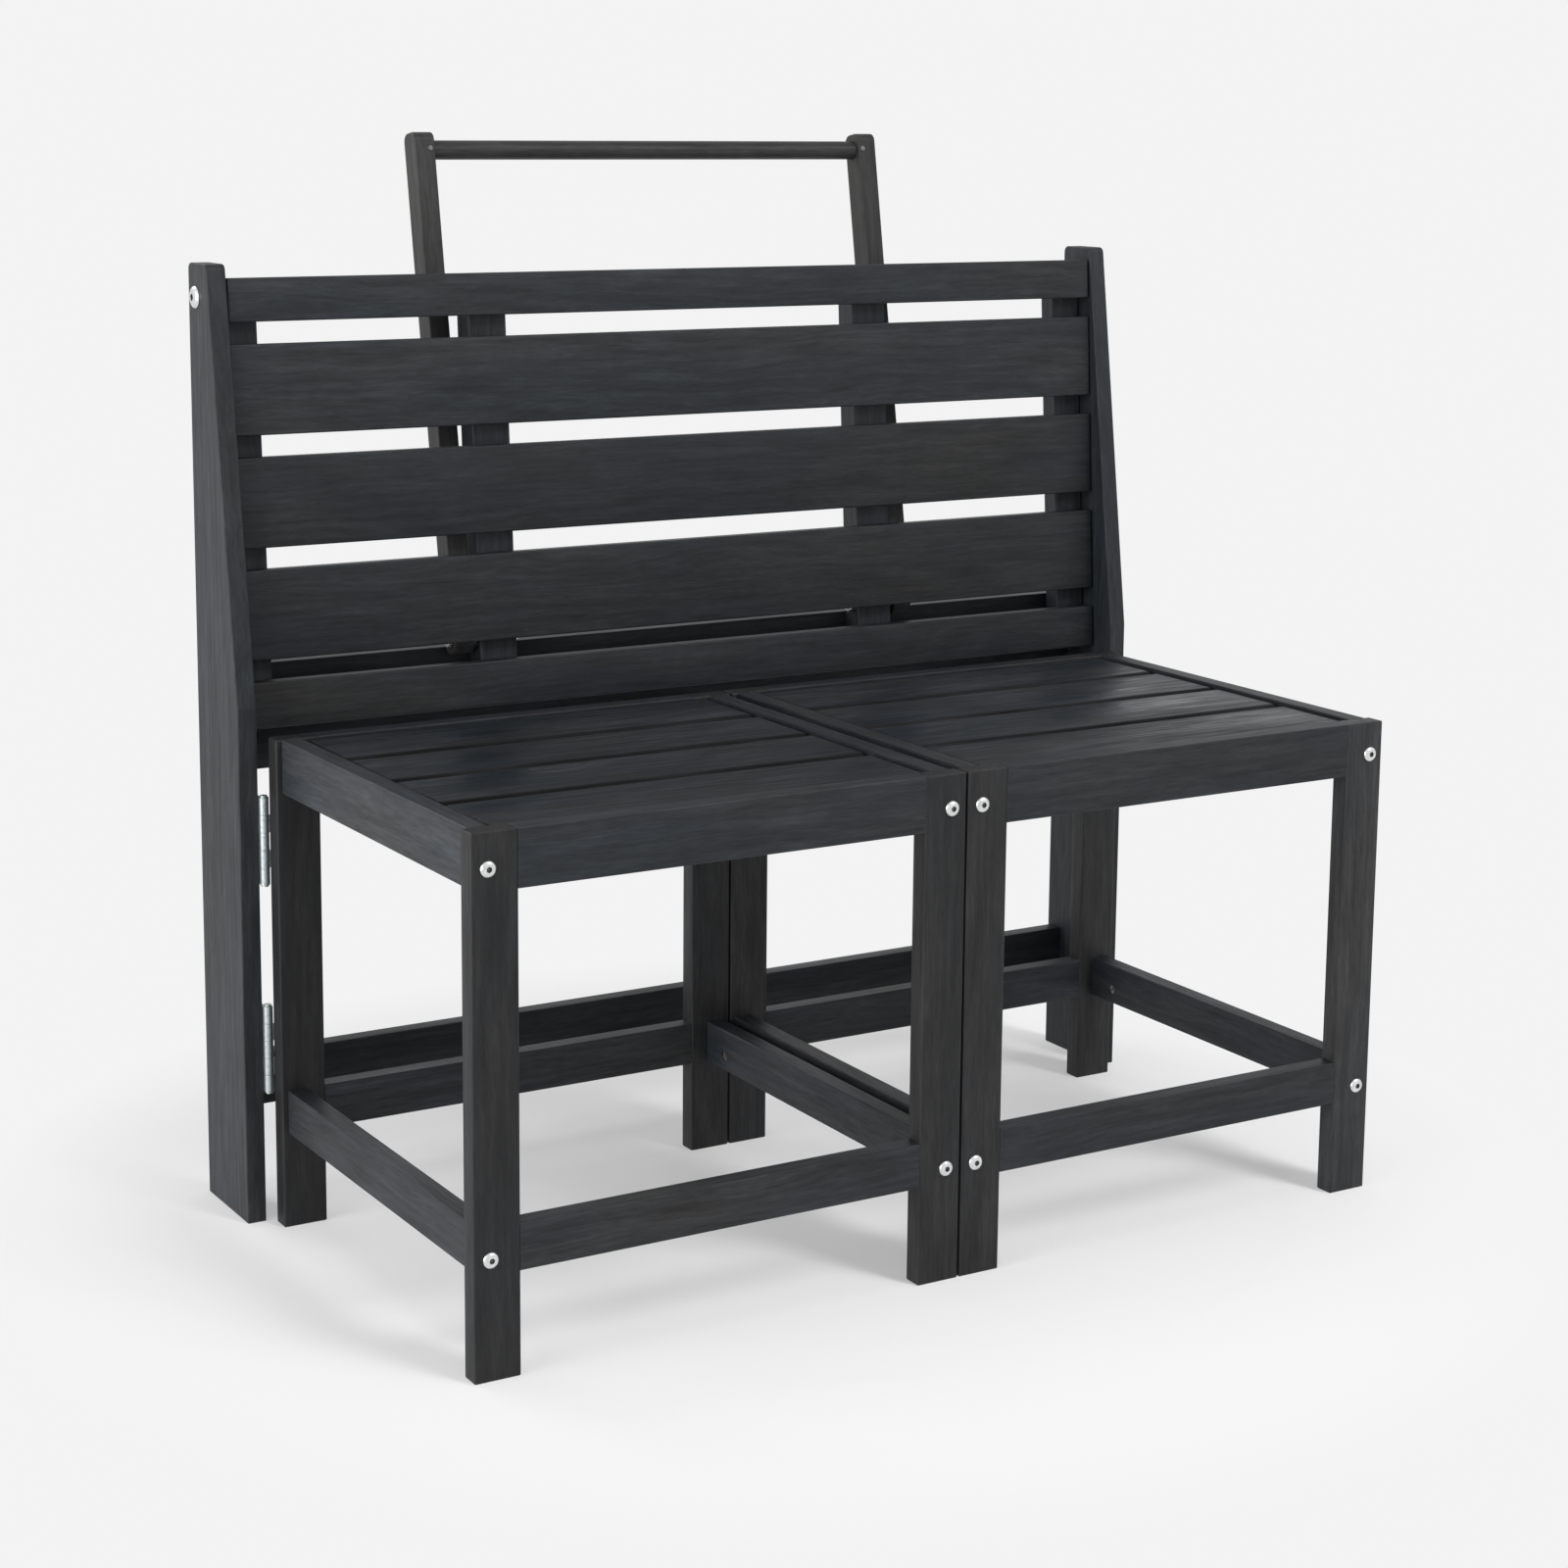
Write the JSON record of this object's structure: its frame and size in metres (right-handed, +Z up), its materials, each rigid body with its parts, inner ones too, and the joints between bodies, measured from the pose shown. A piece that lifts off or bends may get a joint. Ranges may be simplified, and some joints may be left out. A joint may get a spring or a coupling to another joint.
{
  "type": "convertible picnic table bench",
  "caption": "Slatted outdoor bench of hinged stools whose backrest flips forward on pivots to become a propped picnic table.",
  "frame": {"origin": "middle of the bounding box, on the floor under the legs", "axes": "+X along the bench from the left stool to the right stool, +Y from the seats' front to the backrest, +Z up"},
  "size_m": [0.9838, 0.5834, 0.9775],
  "materials": {
    "frame_timber": "dark charcoal stained softwood, satin",
    "stool_timber": "dark charcoal stained softwood, satin",
    "table_timber": "dark charcoal stained softwood, satin",
    "rod_timber": "dark charcoal stained round bar, satin",
    "zinc_steel": "bright zinc plated",
    "hinge_steel": "bright zinc plated, slightly dulled",
    "screw_steel": "dull zinc plated"
  },
  "bodies": {
    "frame": {"hinge_pins": "hinge_steel", "left_post": "frame_timber", "lower_rear_rail": "frame_timber", "post_hinge_leaves": "hinge_steel", "post_hinge_screws": "screw_steel", "right_post": "frame_timber", "table_pivot_bolts": "zinc_steel", "upper_rear_rail": "frame_timber"},
    "left_stool": {"left_stool_barrel_nuts": "zinc_steel", "left_stool_bolts": "zinc_steel", "left_stool_front_apron": "stool_timber", "left_stool_front_inner_leg": "stool_timber", "left_stool_front_outer_leg": "stool_timber", "left_stool_front_stretcher": "stool_timber", "left_stool_hinge_leaves": "hinge_steel", "left_stool_inner_apron": "stool_timber", "left_stool_inner_stretcher": "stool_timber", "left_stool_outer_apron": "stool_timber", "left_stool_outer_stretcher": "stool_timber", "left_stool_rear_apron": "stool_timber", "left_stool_rear_inner_leg": "stool_timber", "left_stool_rear_outer_leg": "stool_timber", "left_stool_rear_stretcher": "stool_timber", "left_stool_screws": "screw_steel", "left_stool_seat_cleats": "stool_timber", "left_stool_seat_slats": "stool_timber"},
    "right_stool": {"right_stool_barrel_nuts": "zinc_steel", "right_stool_bolts": "zinc_steel", "right_stool_front_apron": "stool_timber", "right_stool_front_inner_leg": "stool_timber", "right_stool_front_outer_leg": "stool_timber", "right_stool_front_stretcher": "stool_timber", "right_stool_hinge_leaves": "hinge_steel", "right_stool_inner_apron": "stool_timber", "right_stool_inner_stretcher": "stool_timber", "right_stool_outer_apron": "stool_timber", "right_stool_outer_stretcher": "stool_timber", "right_stool_rear_apron": "stool_timber", "right_stool_rear_inner_leg": "stool_timber", "right_stool_rear_outer_leg": "stool_timber", "right_stool_rear_stretcher": "stool_timber", "right_stool_screws": "screw_steel", "right_stool_seat_cleats": "stool_timber", "right_stool_seat_slats": "stool_timber"},
    "panel": {"left_edge_batten": "table_timber", "left_inner_batten": "table_timber", "prop_pivot_bolts": "zinc_steel", "right_edge_batten": "table_timber", "right_inner_batten": "table_timber", "table_screws": "screw_steel", "table_slat_1": "table_timber", "table_slat_2": "table_timber", "table_slat_3": "table_timber", "table_slat_4": "table_timber", "table_slat_5": "table_timber"},
    "prop": {"left_prop_arm": "table_timber", "prop_nails": "zinc_steel", "prop_rod": "rod_timber", "right_prop_arm": "table_timber"}
  },
  "joints": [
    {"name": "left_stool_swing", "type": "hinge", "parent": "frame", "child": "left_stool", "pos_m": [-0.4667, 0.13376, 0.259], "axis": [0, 0, -1], "range_deg": [0, 90]},
    {"name": "right_stool_swing", "type": "hinge", "parent": "frame", "child": "right_stool", "pos_m": [0.4667, 0.13376, 0.259], "axis": [0, 0, 1], "range_deg": [0, 90]},
    {"name": "table_flip", "type": "hinge", "parent": "frame", "child": "panel", "pos_m": [0, 0.21826, 0.833], "axis": [-1, 0, 0], "range_deg": [0, 86.2]},
    {"name": "prop_swing", "type": "hinge", "parent": "panel", "child": "prop", "pos_m": [0, 0.19965, 0.50752], "axis": [-1, 0, 0], "range_deg": [-6, 36.85]}
  ]
}
